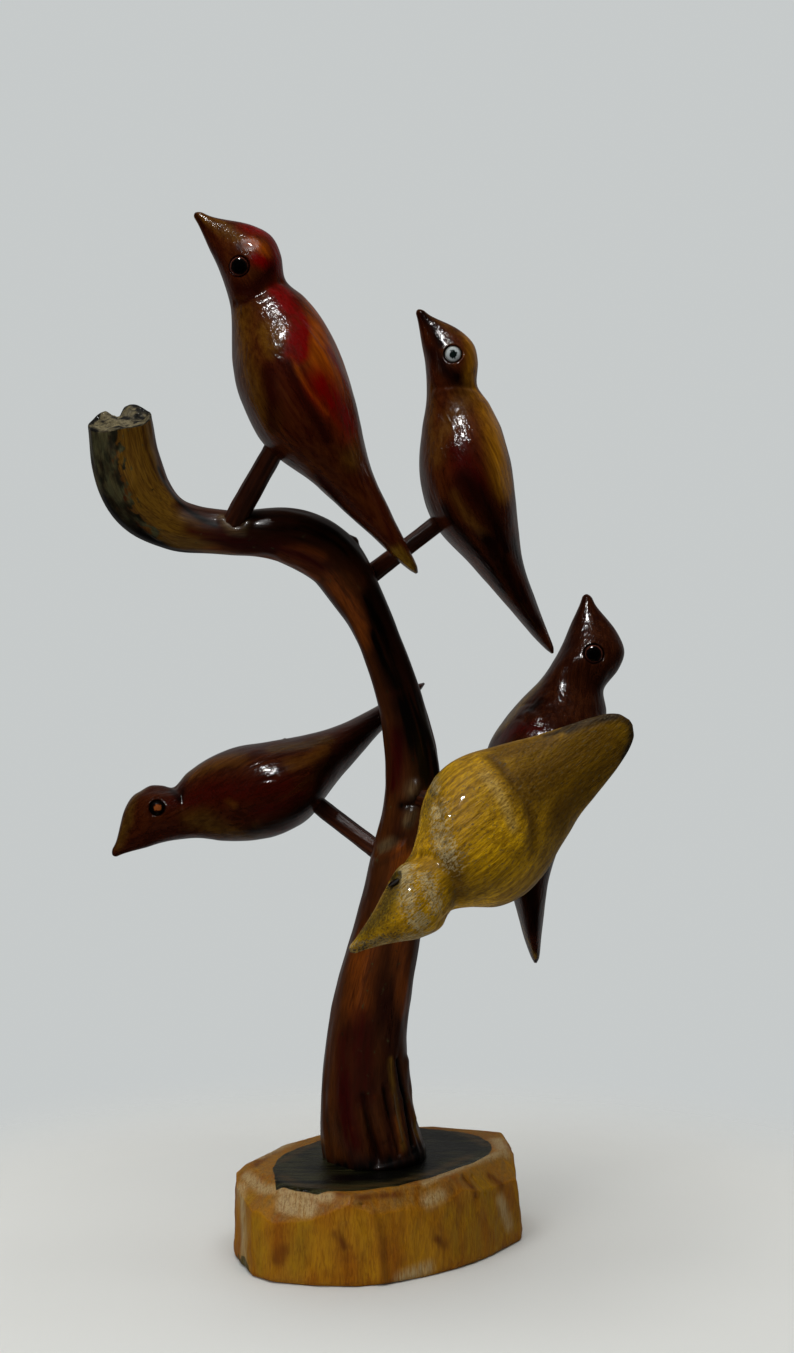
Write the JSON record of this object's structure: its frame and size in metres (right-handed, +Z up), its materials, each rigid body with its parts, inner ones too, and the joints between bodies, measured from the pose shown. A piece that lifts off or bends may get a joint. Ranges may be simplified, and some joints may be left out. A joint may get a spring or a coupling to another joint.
{
  "type": "bird tree carving",
  "caption": "Lacquered folk carving of slim birds perched on pegs along a bent branch, which stands on a rough-cut slab of log.",
  "frame": {"origin": "middle of the log slab's flat underside, under the foot of the branch", "axes": "+Z up the branch; -Y is the front, which the yellow bird faces across; +X to the right, away from the sawn end of the bough"},
  "size_m": [0.1418, 0.0936, 0.2721],
  "materials": {
    "plinth_wood": "lacquered ochre log slice with knife-chipped edges, its top painted blackish green",
    "branch_wood": "glossy dark red-brown lacquer over a bare branch, streaked black and tan",
    "peg_wood": "whittled twig, glossy dark lacquer",
    "eye_bead": "dark polished bead",
    "eye_bead_white": "white polished bead with a ragged dark pupil",
    "eye_bead_amber": "amber-brown polished bead in a dark ring",
    "bird_upper_left": "glossy lacquer over shaded stain",
    "bird_upper_right": "glossy lacquer over shaded stain",
    "bird_lower_left": "glossy lacquer over shaded stain",
    "bird_front": "glossy lacquer over shaded stain",
    "bird_lower_right": "glossy lacquer over shaded stain"
  },
  "bodies": {
    "root": {"plinth": "plinth_wood", "branch": "branch_wood", "peg_upper_left": "peg_wood", "bird_upper_left": "bird_upper_left", "eye_upper_left_l": "eye_bead", "eye_upper_left_r": "eye_bead", "peg_upper_right": "peg_wood", "bird_upper_right": "bird_upper_right", "eye_upper_right_l": "eye_bead_white", "eye_upper_right_r": "eye_bead_white", "peg_lower_left": "peg_wood", "bird_lower_left": "bird_lower_left", "eye_lower_left_l": "eye_bead_amber", "eye_lower_left_r": "eye_bead_amber", "peg_front": "peg_wood", "bird_front": "bird_front", "eye_front_l": "eye_bead", "eye_front_r": "eye_bead", "peg_lower_right": "peg_wood", "bird_lower_right": "bird_lower_right", "eye_lower_right_l": "eye_bead", "eye_lower_right_r": "eye_bead"}
  },
  "joints": []
}
